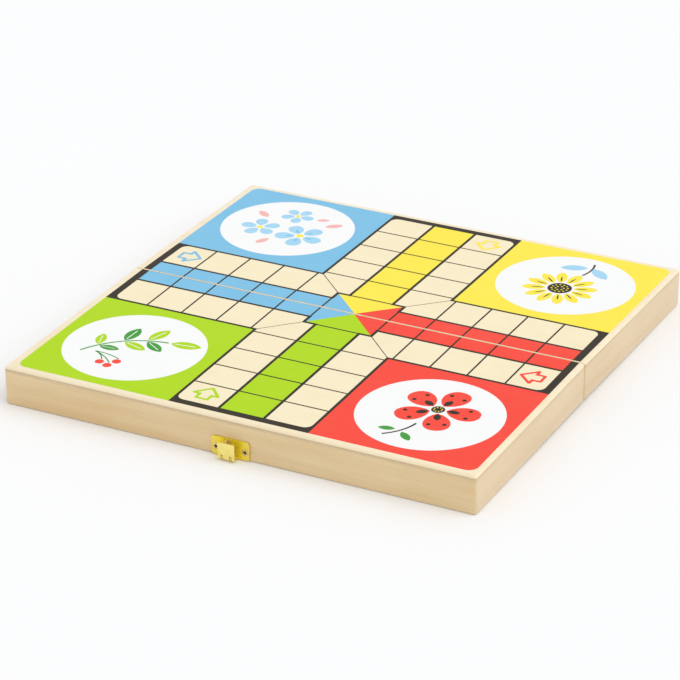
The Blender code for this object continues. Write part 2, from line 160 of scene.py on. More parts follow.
def place_on_object(tree, turn=(0, 0, 0), origin=(0, 0, 0)):
    """Object coordinates, seen from an origin and a turn of their own."""
    coordinates = tree.nodes.new("ShaderNodeTexCoord")
    values = {"Vector": coordinates.outputs["Object"], "Location": origin, "Rotation": turn}
    return add_node(tree, "ShaderNodeMapping", values, vector_type="TEXTURE").outputs["Vector"]


def raised(tree, height, strength, distance):
    """A normal that follows a height, given in parts of a distance."""
    values = {"Height": height, "Strength": strength, "Distance": distance}
    return add_node(tree, "ShaderNodeBump", values).outputs["Normal"]


def rail_finish(name, turn, pale, warm):
    """Varnished softwood with its grain turned to lie along the rail."""
    finish, tree, shader = new_finish(name, **rail_coat)
    grain = grained(tree, place_on_object(tree, turn, grain_origin), pale, warm, rail_figure)
    fibre = grain.outputs["Fibre"]
    roughness = ranged(tree, fibre, *noise_span, *rail_roughness)
    normal = raised(tree, fibre, *rail_bump)
    feed(tree, shader, Base_Color=grain.outputs["Color"], Roughness=roughness, Normal=normal)
    return finish


def make_smooth_rounds():
    """Shades a mesh smooth, but for its edges that are sharper than a round's facets."""
    group = bpy.data.node_groups.new("smooth rounds", "GeometryNodeTree")
    group.interface.new_socket("Geometry", in_out="INPUT", socket_type="NodeSocketGeometry")
    group.interface.new_socket("Geometry", in_out="OUTPUT", socket_type="NodeSocketGeometry")
    given, made = group.nodes.new("NodeGroupInput"), group.nodes.new("NodeGroupOutput")
    faces = add_node(group, "GeometryNodeSetShadeSmooth", {"Geometry": given.outputs[0]}, domain="FACE")
    angle = group.nodes.new("GeometryNodeInputMeshEdgeAngle")
    sharp = add_node(
        group,
        "FunctionNodeCompare",
        {"A": angle.outputs["Unsigned Angle"], "B": smooth_below},
        operation="GREATER_THAN",
    )
    values = {"Geometry": faces.outputs[0], "Selection": sharp.outputs[0], "Shade Smooth": False}
    edges = add_node(group, "GeometryNodeSetShadeSmooth", values, domain="EDGE")
    group.links.new(edges.outputs[0], made.inputs[0])
    return group


smooth_rounds = make_smooth_rounds()


def dress(names, finish, ease=0.0):
    """Gives CAD nodes a finish, eases their sharp edges as shown and shades their rounds smooth."""
    for name in names:
        piece = nodes[name]
        for material_slot in piece.material_slots:
            material_slot.material = finish
        weld = piece.modifiers.new("welded", "WELD")
        weld.merge_threshold = weld_reach
        if ease:
            bevel = piece.modifiers.new("eased edges", "BEVEL")
            bevel.width = ease
            bevel.segments = 2
            bevel.limit_method = "ANGLE"
            bevel.angle_limit = eased_above
            bevel.use_clamp_overlap = True
        rounds = piece.modifiers.new("smooth rounds", "NODES")
        rounds.node_group = smooth_rounds


long_grain = "varnished rail, grain left to right"
cross_grain = "varnished rail, grain front to back"
rail_along = rail_finish(long_grain, (0, 0, 0), rail_along_pale, rail_along_warm)
rail_across_shaded = rail_finish(cross_grain, (0, 0, math.pi / 2), rail_across_shaded_pale, rail_across_shaded_warm)
dress(rails_along, rail_along, rail_edge_ease)
dress(rails_across, rail_across_shaded, rail_edge_ease)

# The panels: one of 3 mm plywood glued on the rails of each half, with its outer edges rounded over.
# The face is pale veneer under a clear gloss varnish, the edge shows the darker cross ply between
# the two veneers, and the underside, inside the box, is bare.
board_tilt = 0.01005345
fold_axis = Vector((0, 0.0011169, 0.0013))
panel_top = 0.0242
panel_thickness = 0.0030
core_top = 0.00155
core_bottom = 0.00270
core_blur = 0.0002
veneer_pale = (0.93, 0.82, 0.59)
veneer_warm = (0.84, 0.66, 0.39)
veneer_figure = 0.5
core_pale = (0.68, 0.51, 0.29)
core_warm = (0.56, 0.39, 0.20)
core_figure = 0.8
bare_veneer = (0.74, 0.57, 0.36)
bare_start = 0.00003
bare_end = 0.00010
gloss_roughness, bare_roughness = 0.34, 0.62
gloss_coat, gloss_coat_roughness = 0.4, 0.06
veneer_bump = (0.25, 0.00008)


def panel_finish(name, yaw):
    """Plywood whose plies are told apart by their height in the half's own tilted frame."""
    finish, tree, shader = new_finish(name, Coat_Roughness=gloss_coat_roughness)
    place = place_on_object(tree, (board_tilt, 0, yaw), fold_axis)
    face = grained(tree, place, veneer_pale, veneer_warm, veneer_figure)
    crossed = add_node(tree, "ShaderNodeMapping", {"Vector": place, "Rotation": (0, 0, math.pi / 2)})
    core = grained(tree, crossed.outputs[0], core_pale, core_warm, core_figure)
    height = add_node(tree, "ShaderNodeSeparateXYZ", {0: place}).outputs["Z"]
    upper, lower = panel_top - core_top, panel_top - core_bottom
    below_face = ranged(tree, height, upper - core_blur, upper + core_blur, 1, 0)
    above_back = ranged(tree, height, lower - core_blur, lower + core_blur)
    in_core = combined(tree, below_face, above_back, "MULTIPLY")
    colour = mixed(tree, in_core, face.outputs["Color"], core.outputs["Color"])
    underside = panel_top - panel_thickness
    bare = ranged(tree, height, underside + bare_start, underside + bare_end, 1, 0)
    colour = mixed(tree, bare, colour, mixed(tree, 0.5, face.outputs["Color"], (*bare_veneer, 1)))
    roughness = ranged(tree, bare, 0, 1, gloss_roughness, bare_roughness)
    coat = ranged(tree, bare, 0, 1, gloss_coat, 0)
    normal = raised(tree, face.outputs["Fibre"], *veneer_bump)
    feed(tree, shader, Base_Color=colour, Roughness=roughness, Coat_Weight=coat, Normal=normal)
    return finish


dress(("front_play_panel",), panel_finish("varnished plywood, front half", 0))
dress(("back_play_panel",), panel_finish("varnished plywood, back half", math.pi))

# The glue: a thin line of it shows between each panel and its rails, and a paler one in the
# rails' mitres. It is wood glue squeezed out and sanded a hair below the wood round it.
glue_low = 0.02092
glue_high = 0.02118
glue_width = 0.0078
glue_inset = 0.00010
mitre_glue = 0.00026
mitre_glue_start = 0.00064
mitre_glue_low = 0.0007
mitre_glue_height = 0.0200
glue_blots = (260, 260, 260)
glue_span = (0.35, 0.65)
glue_roughness = (0.4, 0.65)
panel_glue_dark, panel_glue_pale = (0.56, 0.40, 0.21), (0.66, 0.49, 0.28)
mitre_glue_dark, mitre_glue_pale = (0.80, 0.60, 0.35), (0.87, 0.69, 0.43)
halves = {"front": -1, "back": 1}
half_width = 0.1500
half_depth = 0.1498
seam_edge = 0.0002
rail_width = 0.0080
outer_corner_radius = 0.0015
corner_steps = 8
curve_steps = 10
straight_within = math.radians(0.1)
snap = 1e-7


def start_afresh():
    """Deselects everything, so that the next operators act on the new piece alone."""
    if bpy.context.object and bpy.context.object.mode != "OBJECT":
        bpy.ops.object.mode_set(mode="OBJECT")
    bpy.ops.object.select_all(action="DESELECT")


def add_sheet(left, right, near, far):
    """A flat rectangle on the board's plan, selected and active."""
    start_afresh()
    middle = ((left + right) / 2, (near + far) / 2, 0)
    bpy.ops.mesh.primitive_plane_add(size=1, location=middle)
    bpy.ops.transform.resize(value=(right - left, far - near, 1))
    bpy.ops.object.transform_apply(location=True, rotation=True, scale=True)
    return bpy.context.object


def open_mesh(piece):
    """Makes a piece active and opens its whole mesh for editing."""
    start_afresh()
    piece.select_set(True)
    bpy.context.view_layer.objects.active = piece
    bpy.ops.object.mode_set(mode="EDIT")
    bpy.ops.mesh.select_all(action="SELECT")


def own_copy(piece):
    """A copy of a piece, with a mesh of its own."""
    copy = piece.copy()
    copy.data = piece.data.copy()
    bpy.context.collection.objects.link(copy)
    return copy


def select_corners(sheet, wanted):
    """In edit mode, selects the vertices that a test on their place picks."""
    bpy.ops.object.mode_set(mode="EDIT")
    bpy.ops.mesh.select_mode(type="VERT")
    bpy.ops.mesh.select_all(action="DESELECT")
    bpy.ops.object.mode_set(mode="OBJECT")
    for corner in sheet.data.vertices:
        corner.select = wanted(corner.co)
    bpy.ops.object.mode_set(mode="EDIT")


def round_corners(sheet, radius, wanted):
    """Rounds the corners that a test picks."""
    select_corners(sheet, wanted)
    bpy.ops.mesh.bevel(offset=radius, segments=corner_steps, affect="VERTICES", offset_type="OFFSET")
    bpy.ops.object.mode_set(mode="OBJECT")


def flat_outline(*outlines):
    """Closed flat outlines of (place, left handle, right handle), filled. An inner one is a hole."""
    start_afresh()
    bpy.ops.curve.primitive_bezier_curve_add()
    artwork = bpy.context.object
    artwork.data.dimensions = "2D"
    artwork.data.fill_mode = "BOTH"
    artwork.data.resolution_u = curve_steps
    artwork.data.splines.clear()
    for points in outlines:
        spline = artwork.data.splines.new("BEZIER")
        spline.bezier_points.add(len(points) - 1)
        spline.use_cyclic_u = True
        for point, (place, left_handle, right_handle) in zip(spline.bezier_points, points):
            point.handle_left_type = point.handle_right_type = "FREE"
            point.co, point.handle_left, point.handle_right = place, left_handle, right_handle
    bpy.ops.object.convert(target="MESH")
    sheet = bpy.context.object
    open_mesh(sheet)
    bpy.ops.mesh.remove_doubles(threshold=snap)
    bpy.ops.mesh.dissolve_limited(angle_limit=straight_within)
    bpy.ops.object.mode_set(mode="OBJECT")
    return sheet


def moved_out(corners, distance):
    """An outline's corners, given to the left round, with its sides moved outward by a distance."""
    moved = []
    for before, at, after in zip(corners[-1:] + corners[:-1], corners, corners[1:] + corners[:1]):
        first = (at - before).normalized().cross(Vector((0, 0, 1)))
        last = (after - at).normalized().cross(Vector((0, 0, 1)))
        moved.append(at + (first + last) * distance / (1 + first.dot(last)))
    return moved


def rounded(corners, radius):
    """A flat outline with straight sides, whose corners are rounded to a radius."""
    points = []
    for before, at, after in zip(corners[-1:] + corners[:-1], corners, corners[1:] + corners[:1]):
        turn = (at - before).angle(after - at)
        cut = radius * math.tan(turn / 2)
        start = at + (before - at).normalized() * cut
        end = at + (after - at).normalized() * cut
        bulge = 4 / 3 * math.tan(turn / 4) / math.tan(turn / 2)
        points += [(start, start, start.lerp(at, bulge)), (end, end.lerp(at, bulge), end)]
    return points


def thicken(sheet, thickness):
    """Draws a flat sheet up to a closed slab."""
    open_mesh(sheet)
    bpy.ops.mesh.extrude_region_move(TRANSFORM_OT_translate={"value": (0, 0, thickness)})
    bpy.ops.mesh.select_all(action="SELECT")
    bpy.ops.mesh.normals_make_consistent(inside=False)
    bpy.ops.object.mode_set(mode="OBJECT")


def join_all(pieces):
    """Joins pieces into the first and makes it active."""
    start_afresh()
    for piece in pieces:
        piece.select_set(True)
    bpy.context.view_layer.objects.active = pieces[0]
    if len(pieces) > 1:
        bpy.ops.object.join()
    return pieces[0]


def set_on_half(piece, name, side, height, finish):
    """Lays a piece drawn on the flat plan at a height in its half, which tilts down from the seam."""
    turn = Matrix.Rotation(-halves[side] * board_tilt, 4, "X")
    piece.data.transform(Matrix.Translation(fold_axis) @ turn @ Matrix.Translation((0, 0, height)))
    piece.name = name
    piece.data.name = name
    piece.data.materials.clear()
    piece.data.materials.append(finish)
    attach(piece, f"{side}_half")


def glue_finish(name, dark, pale):
    """Set wood glue, blotted between two colours."""
    finish, tree, shader = new_finish(name, Coat_Weight=0.2, Coat_Roughness=0.2)
    blots = scaled_noise(tree, place_on_object(tree), glue_blots, 3)
    colour = mixed(tree, ranged(tree, blots, *glue_span), (*dark, 1), (*pale, 1))
    roughness = ranged(tree, blots, *noise_span, *glue_roughness)
    feed(tree, shader, Base_Color=colour, Roughness=roughness)
    return finish


panel_glue = glue_finish("set wood glue", panel_glue_dark, panel_glue_pale)
mitre_filler = glue_finish("glue and sanding dust", mitre_glue_dark, mitre_glue_pale)
for side, out in halves.items():
    outer, inner = out * (half_depth + seam_edge - glue_inset), out * (seam_edge + glue_inset)
    near, far = sorted((outer, inner))
    left, right = glue_inset - half_width, half_width - glue_inset
    bead_plan = ((left, near), (right, near), (right, far), (left, far))
    bead_corners = [Vector((x, y, 0)) for x, y in bead_plan]
    inner_edge = [(corner, corner, corner) for corner in moved_out(bead_corners, -glue_width)]
    bead = flat_outline(rounded(bead_corners, outer_corner_radius), inner_edge)
    thicken(bead, glue_high - glue_low)
    bead.data.transform(Matrix.Translation((0, 0, glue_low)))
    set_on_half(bead, f"{side}_panel_glue", side, 0, panel_glue)
    slivers = []
    reach = rail_width * math.sqrt(2) - mitre_glue_start - glue_inset
    for corner_x in (-half_width, half_width):
        for corner_y in (out * (half_depth + seam_edge), out * seam_edge):
            middle_y = out * (seam_edge + half_depth / 2)
            inward = Vector((-math.copysign(1, corner_x), math.copysign(1, middle_y - corner_y), 0))
            sliver = add_sheet(-reach / 2, reach / 2, -mitre_glue / 2, mitre_glue / 2)
            thicken(sliver, mitre_glue_height)
            angle = math.atan2(inward.y, inward.x)
            foot = Vector((corner_x, corner_y, mitre_glue_low))
            foot += inward.normalized() * (mitre_glue_start + reach / 2)
            sliver.data.transform(Matrix.Translation(foot) @ Matrix.Rotation(angle, 4, "Z"))
            slivers.append(sliver)
    set_on_half(join_all(slivers), f"{side}_mitre_glue", side, 0, mitre_filler)

# The black print: the first ink on the board, a cross with a wide band at the end of each arm. The
# cells are printed over it, so it shows as the lines between them. It stops short of the seam.
print_middle = Vector((0.00112, -0.00012, 0))
print_reach = 0.1455
arm_reach = 0.0435
border = 0.0019
seam_margin = 0.00055
ink_step = 0.00003
ink_sunk = 0.00001
on_wood, on_first_ink, on_second_ink, on_third_ink = range(4)
ink_mottle_scale = (55, 55, 55)
ink_grain_scale = (24, 800, 800)
ink_mottle_tone = (0.40, 0.70, 0, 0.35)
ink_grain_tone = (0.45, 0.75, 0, 0.45)
ink_roughness = (0.30, 0.42)
ink_bump = (0.12, 0.00005)
ink_coat = {"Coat_Weight": 0.28, "Coat_Roughness": 0.05}


def make_ink_lay():
    """An ink's colour as it lies on veneer: a faint mottle, and the grain under it showing through."""
    group, given, made = new_group(
        "ink on veneer",
        {"Place": "Vector", "Ink": "Color", "Thin Ink": "Color"},
        {"Color": "Color", "Grain": "Float", "Roughness": "Float"},
    )
    place = given.outputs["Place"]
    mottle = scaled_noise(group, place, ink_mottle_scale, 3)
    grain = scaled_noise(group, place, ink_grain_scale, 3, 0.6)
    mottled = ranged(group, mottle, *ink_mottle_tone)
    thin = combined(group, mottled, ranged(group, grain, *ink_grain_tone))
    colour = mixed(group, thin, given.outputs["Ink"], given.outputs["Thin Ink"])
    roughness = ranged(group, mottle, *noise_span, *ink_roughness)
    feed(group, made, Color=colour, Grain=grain, Roughness=roughness)
    return group


ink_lay = make_ink_lay()


def ink_finish(name, ink, thin_ink):
    """A screen-printed ink under the board's clear gloss varnish."""
    finish, tree, shader = new_finish(name, Specular_IOR_Level=0.0, **ink_coat)
    values = {"Place": place_on_object(tree), "Ink": (*ink, 1), "Thin Ink": (*thin_ink, 1)}
    lay = add_node(tree, "ShaderNodeGroup", values, node_tree=ink_lay)
    feed(tree, shader, Base_Color=lay.outputs["Color"], Roughness=lay.outputs["Roughness"])
    feed(tree, shader, Normal=raised(tree, lay.outputs["Grain"], *ink_bump))
    return finish


def lay_ink(artwork, name, layer, finish, slot):
    """Prints flat artwork, drawn round the print's middle, as a film on each half that it reaches."""
    artwork.data.transform(Matrix.Translation(print_middle))
    for side, out in halves.items():
        film = own_copy(artwork)
        open_mesh(film)
        edge = (0, out * seam_margin, 0)
        bpy.ops.mesh.bisect(plane_co=edge, plane_no=(0, out, 0), clear_inner=True, threshold=snap)
        bpy.ops.object.mode_set(mode="OBJECT")
        if not film.data.polygons:
            bpy.data.objects.remove(film)
            continue
        thicken(film, ink_step + ink_sunk)
        height = panel_top + layer * ink_step - ink_sunk
        set_on_half(film, f"{side}_{name}", side, height, finish)
    bpy.data.objects.remove(artwork)


arm_edge = arm_reach + border / 2
cross = add_sheet(-print_reach, print_reach, -arm_edge, arm_edge)
open_mesh(cross)
for x in (-arm_edge, arm_edge):
    bpy.ops.mesh.bisect(plane_co=(x, 0, 0), plane_no=(1, 0, 0), threshold=snap)
    bpy.ops.mesh.select_all(action="SELECT")
bpy.ops.object.mode_set(mode="OBJECT")
for way in (-1, 1):
    select_corners(cross, lambda corner: abs(corner.x) < print_reach / 2 and corner.y * way > 0)
    arm = (0, way * (print_reach - arm_edge), 0)
    bpy.ops.mesh.extrude_region_move(TRANSFORM_OT_translate={"value": arm})
    bpy.ops.object.mode_set(mode="OBJECT")
ink_black = ink_finish("black ink", (0.032, 0.024, 0.014), (0.045, 0.035, 0.022))
lay_ink(cross, "black_print", on_wood, ink_black, "ink_black")

# The corner fields: a square of one bright ink in each corner of the board, with a rounded outer
# corner: green and red on the clasp's side, blue and yellow behind. Each colour has its corner, its
# ink, and that ink where it lies thin.
field_corner = 0.0060
field_middle = (arm_edge + print_reach) / 2
field_inks = {
    "green": ((-1, -1), (0.43, 0.69, 0.003), (0.47, 0.72, 0.012)),
    "red": ((1, -1), (0.93, 0.066, 0.042), (0.95, 0.090, 0.060)),
    "blue": ((-1, 1), (0.20, 0.52, 0.77), (0.24, 0.57, 0.81)),
    "yellow": ((1, 1), (0.96, 0.80, 0.065), (0.98, 0.84, 0.10)),
}
inks = {}
for colour, (corner, ink, thin_ink) in field_inks.items():
    inks[colour] = ink_finish(f"{colour} ink", ink, thin_ink)
    (left, right), (near, far) = (sorted((way * arm_edge, way * print_reach)) for way in corner)
    field = add_sheet(left, right, near, far)
    round_corners(
        field, field_corner, lambda at: min(at.x * corner[0], at.y * corner[1]) > field_middle
    )
    lay_ink(field, f"{colour}_field", on_wood, inks[colour], f"ink_{colour}")

# The track: the cream cells down both sides of each arm, printed over the black. Next to the centre
# they end on the diagonal, and those at the band have one rounded corner.
band_start = 0.14057
lane_reach = 0.01441
centre_reach = 0.0223
row_lines = (0.04658, 0.07026, 0.09382, 0.11757)
cell_line = 0.00120
lane_line = 0.0019
diagonal_line = 0.0006
centre_line = 0.0020
cell_corner = 0.0048


def turned_copies(piece):
    """A piece and three copies of it, each turned a quarter more about the middle."""
    copies = [piece]
    for turn in (1, 2, 3):
        copy = own_copy(piece)
        copy.data.transform(Matrix.Rotation(turn * math.pi / 2, 4, "Z"))
        copies.append(copy)
    return copies


def cell_spans(edges):
    """The near and far ends of a row's cells, between its lines. The last cell ends at the band."""
    for start, end in zip(edges, edges[1:]):
        yield -end + (0 if end == band_start else cell_line / 2), -start - cell_line / 2


def cut_away(sheet, through, facing):
    """Cuts a flat sheet along a line and clears the side that the line faces."""
    open_mesh(sheet)
    plane = Vector((*facing, 0)).normalized()
    bpy.ops.mesh.bisect(plane_co=(*through, 0), plane_no=plane, clear_outer=True, threshold=snap)
    bpy.ops.object.mode_set(mode="OBJECT")


track = []
inner, outer = lane_reach + lane_line / 2, arm_reach - border / 2
row_edges = [*row_lines, band_start]
for way in (-1, 1):
    left, right = sorted((way * inner, way * outer))
    first = add_sheet(left, right, -row_lines[0] + cell_line / 2, -centre_reach - centre_line / 2)
    offset = diagonal_line / 2 * math.sqrt(2)
    cut_away(first, (0, -offset), (way, 1))
    track.append(first)
    for near, far in cell_spans(row_edges):
        cell = add_sheet(left, right, near, far)
        if near == -band_start:
            round_corners(
                cell,
                cell_corner,
                lambda at: at.x * way > (inner + outer) / 2 and at.y < (near + far) / 2,
            )
        track.append(cell)
track = join_all(track)
ink_cream = ink_finish("cream ink", (0.93, 0.83, 0.585), (0.88, 0.76, 0.50))
lay_ink(join_all(turned_copies(track)), "track_cells", on_first_ink, ink_cream, "ink_cream")

# The home lanes: five cells of a player's colour down the middle of each arm, and a triangle of it
# in the centre square. Two of the lanes and of the triangles are cut by the seam.
lane_turns = {"green": 0, "red": 1, "yellow": 2, "blue": 3}
in_lane = lane_reach - lane_line / 2
for colour, turn in lane_turns.items():
    cells = [add_sheet(-in_lane, in_lane, *span) for span in cell_spans([centre_reach, *row_edges])]
    in_centre = centre_reach - centre_line / 2
    centre = add_sheet(-in_centre, in_centre, -in_centre, 0)
    cut_away(centre, (0, 0), (-1, 1))
    cut_away(centre, (0, 0), (1, 1))
    cells.append(centre)
    cells.append(add_sheet(-in_lane, in_lane, -centre_reach + cell_line / 2, -in_centre))
    lane = join_all(cells)
    lane.data.transform(Matrix.Rotation(turn * math.pi / 2, 4, "Z"))
    lay_ink(lane, f"{colour}_home_lane", on_first_ink, inks[colour], f"ink_{colour}")

# The white discs: one in each corner field, printed over it in white ink. Each is the ground for
# the field's picture.
disc_reach = 0.0427
disc_offset = 0.0955
disc_sides = 128


def add_disc(radius, sides, middle=(0, 0, 0)):
    """A flat disc, selected and active."""
    start_afresh()
    bpy.ops.mesh.primitive_circle_add(vertices=sides, radius=radius, fill_type="NGON", location=middle)
    bpy.ops.object.transform_apply(location=True, rotation=True, scale=True)
    return bpy.context.object


def disc_middle(colour):
    """The middle of a colour's disc, from the print's middle."""
    x, y = field_inks[colour][0]
    return x * disc_offset, y * disc_offset, 0


ink_white = ink_finish("white ink", (0.93, 0.935, 0.935), (0.90, 0.905, 0.91))
for colour in field_inks:
    disc = add_disc(disc_reach, disc_sides, disc_middle(colour))
    lay_ink(disc, f"{colour}_disc", on_first_ink, ink_white, "ink_white")

# The start arrows: an outlined arrow in the end cell beside each home lane, printed in that lane's
# colour over the cream and pointing to the centre. The yellow one shows only faintly on the cream.
arrow_half_width = 0.0080
arrow_stem_half_width = 0.0037
arrow_tip = -0.1214
arrow_shoulder = -0.1298
arrow_end = -0.1350
arrow_middle = -0.0288
arrow_stroke = 0.0018
arrow_outer_radius = 0.0011
arrow_inner_radius = 0.0003

arrow_corners = [
    Vector((arrow_middle + x, y, 0))
    for x, y in (
        (0, arrow_tip),
        (-arrow_half_width, arrow_shoulder),
        (-arrow_stem_half_width, arrow_shoulder),
        (-arrow_stem_half_width, arrow_end),
        (arrow_stem_half_width, arrow_end),
        (arrow_stem_half_width, arrow_shoulder),
        (arrow_half_width, arrow_shoulder),
    )
]
for colour, turn in lane_turns.items():
    arrow = flat_outline(
        rounded(moved_out(arrow_corners, arrow_stroke / 2), arrow_outer_radius),
        rounded(moved_out(arrow_corners, -arrow_stroke / 2), arrow_inner_radius),
    )
    arrow.data.transform(Matrix.Rotation(turn * math.pi / 2, 4, "Z"))
    lay_ink(arrow, f"{colour}_arrow", on_second_ink, inks[colour], f"ink_{colour}")

# The pictures: plants in each disc, in the colours of its field, printed as flat shapes like a
# stencil's, with none over another. Veins, seeds and dots are printed on top of them.
leaf_width_share = 0.46
vein_width = 0.0006
stem_width = 0.0013
leaf_gap = 0.0014
dot_sides = 32
picture_inks = {
    "leaf green": (ink_finish("leaf green ink", (0.05, 0.33, 0.04), (0.08, 0.38, 0.06)), "ink_green"),
    "pink": (ink_finish("pink ink", (0.90, 0.47, 0.44), (0.92, 0.55, 0.50)), "ink_red"),
    "sky": (ink_finish("sky ink", (0.36, 0.66, 0.88), (0.44, 0.72, 0.90)), "ink_blue"),
    "black": (ink_black, "ink_black"),
    "white": (ink_white, "ink_white"),
    **{colour: (ink, f"ink_{colour}") for colour, ink in inks.items()},
}


def blade(length, width, roundness=0.0):
    """A leaf or petal from the origin along Y, with a pointed tip or a round one.

    Its sides swell to three quarters of their handles' reach.
    """
    side, low, high = width / 1.5, length * 0.25, length * (0.75 + 0.25 * roundness)
    foot, tip = Vector((0, 0, 0)), Vector((0, length, 0))
    return flat_outline((
        (foot, Vector((side, low, 0)), Vector((-side, low, 0))),
        (tip, Vector((-side, high, 0)), Vector((side, high, 0))),
    ))


def bowed(start, end, bow):
    """A bowed line's ends and handles."""
    start, end = Vector((*start, 0)), Vector((*end, 0))
    along = end - start
    lift = Vector((-along.y, along.x, 0)).normalized() * bow * 4 / 3
    return start, start + along / 3 + lift, end - along / 3 + lift, end


def stroke(start, end, bow, width):
    """A line of even width that bows to its left."""
    start, leave, arrive, end = bowed(start, end, bow)
    first = (leave - start).normalized().cross(Vector((0, 0, 1))) * width / 2
    last = (end - arrive).normalized().cross(Vector((0, 0, 1))) * width / 2
    return flat_outline((
        (start + first, start + first, leave + first),
        (end + last, arrive + last, end + last),
        (end - last, end - last, arrive - last),
        (start - first, leave - first, start - first),
    ))


def placed(shape, places):
    """Copies of a flat shape along Y, each turned to an angle, sized and set in its place."""
    copies = []
    for (x, y), angle, size in places:
        copy = own_copy(shape)
        turn = Matrix.Rotation(math.radians(angle - 90), 4, "Z")
        copy.data.transform(Matrix.Translation((x, y, 0)) @ turn @ Matrix.Scale(size, 4))
        copies.append(copy)
    bpy.data.objects.remove(shape)
    return join_all(copies)


def ring(middle, radius, count, turn=90.0, size=1.0):
    """Places for a ring of shapes that point away from its middle."""
    places = []
    for step in range(count):
        angle = turn + 360 * step / count
        x = middle[0] + radius * math.cos(math.radians(angle))
        y = middle[1] + radius * math.sin(math.radians(angle))
        places.append(((x, y), angle, size))
    return places


def print_picture(colour, turn, shapes):
    """Prints the shapes of a disc, each (name, layer, artwork, ink), turned about its middle."""
    turned = Matrix.Translation(disc_middle(colour)) @ Matrix.Rotation(math.radians(turn), 4, "Z")
    for name, layer, artwork, ink in shapes:
        artwork.data.transform(turned)
        lay_ink(artwork, f"{colour}_disc_{name}", layer, *picture_inks[ink])


# The green disc's picture: a bowed twig with a leaf at its tip and pairs of leaves along it, in bright
# and dark green by turns, and a spray of three red berries at its foot.
twig = ((-0.0290, -0.0130), (0.0170, 0.0110), 0.0070)
leaf_length = 0.0175
leaf_spread = 52
bright_spots = ((0.20, 1, 0.80), (0.50, -1, 0.95), (0.76, 1, 1.0), (1, 0, 1.1))
dark_spots = ((0.20, -1, 0.75), (0.50, 1, 1.0), (0.76, -1, 0.9))
vein_start, vein_end = 0.12, 0.80
berry_radius = 0.0027
berry_spots = ((-0.0125, -0.0235), (-0.0065, -0.0265), (-0.0030, -0.0205))
stalk_foot = (-0.0200, -0.0115)
stalk_bow, stalk_width, stalk_gap = 0.0012, 0.0008, 0.0006
green_turn = 8


def along_twig(share):
    """The place and the heading, in degrees, at a share of the twig's length."""
    start, leave, arrive, end = bowed(*twig)
    rest = 1 - share
    place = (
        start * rest**3 + leave * 3 * rest**2 * share + arrive * 3 * rest * share**2 + end * share**3
    )
    ahead = (
        (leave - start) * rest**2 + (arrive - leave) * 2 * rest * share + (end - arrive) * share**2
    )
    return place, math.degrees(math.atan2(ahead.y, ahead.x))


def leaf_on_twig(share, side, size):
    """A leaf's place, angle and size, from its share of the twig's length and its side of it."""
    place, heading = along_twig(share)
    angle = heading + side * leaf_spread
    outward = Vector((math.cos(math.radians(angle)), math.sin(math.radians(angle)), 0))
    foot = place + outward * leaf_gap
    return (foot.x, foot.y), angle, size


bright_leaves = [leaf_on_twig(*spot) for spot in bright_spots]
dark_leaves = [leaf_on_twig(*spot) for spot in dark_spots]
leaf_vein = ((0, vein_start * leaf_length), (0, vein_end * leaf_length), 0, vein_width)
leaf_size = (leaf_length, leaf_length * leaf_width_share)
berries = [(spot, 90, 1) for spot in berry_spots]
stalk_tips = [(x, y + berry_radius + stalk_gap) for x, y in berry_spots]
berry_stalks = [stroke(stalk_foot, tip, stalk_bow, stalk_width) for tip in stalk_tips]
print_picture("green", green_turn, (
    ("twig", on_second_ink, stroke(*twig, stem_width), "leaf green"),
    ("bright_leaves", on_second_ink, placed(blade(*leaf_size), bright_leaves), "green"),
    ("dark_leaves", on_second_ink, placed(blade(*leaf_size), dark_leaves), "leaf green"),
    ("veins", on_third_ink, placed(stroke(*leaf_vein), bright_leaves + dark_leaves), "white"),
    ("stalks", on_third_ink, join_all(berry_stalks), "leaf green"),
    ("berries", on_second_ink, placed(add_disc(berry_radius, dot_sides), berries), "red"),
))

# The red disc's picture: a flower of five red petals with black blotches and dots round a black heart,
# on a thin bowed stem with two small leaves.
flower_middle = (0, 0.0070)
petal_count = 5
petal_size, petal_start = (0.0205, 0.0158, 1.0), 0.0048
blotch_size, blotch_start = (0.0075, 0.0042), 0.0056
heart_radius = 0.0040
dot_radius, dot_ring, dot_turns = 0.0013, 0.0185, (104, 76)
seed_radius, seed_ring, seed_count = 0.0005, 0.0024, 8
stem = ((0.0010, -0.0135), (-0.0060, -0.0350), 0.0022)
leaf_size = (0.0110, 0.0050)
leaf_places = [((0.0012, -0.0265), -28, 1), ((-0.0038, -0.0260), 205, 0.9)]
red_turn = -14

petal_places = ring(flower_middle, petal_start, petal_count)
heart_places = [(flower_middle, 90, 1)]
blotch_places = ring(flower_middle, blotch_start, petal_count)
dot_places = [
    place for turn in dot_turns for place in ring(flower_middle, dot_ring, petal_count, turn)
]
seed_places = ring(flower_middle, seed_ring, seed_count)
print_picture("red", red_turn, (
    ("petals", on_second_ink, placed(blade(*petal_size), petal_places), "red"),
    ("heart", on_second_ink, placed(add_disc(heart_radius, dot_sides), heart_places), "black"),
    ("blotches", on_third_ink, placed(blade(*blotch_size), blotch_places), "black"),
    ("dots", on_third_ink, placed(add_disc(dot_radius, dot_sides), dot_places), "black"),
    ("seeds", on_third_ink, placed(add_disc(seed_radius, dot_sides), seed_places), "yellow"),
    ("stem", on_second_ink, stroke(*stem, stem_width), "black"),
    ("leaves", on_second_ink, placed(blade(*leaf_size), leaf_places), "leaf green"),
))

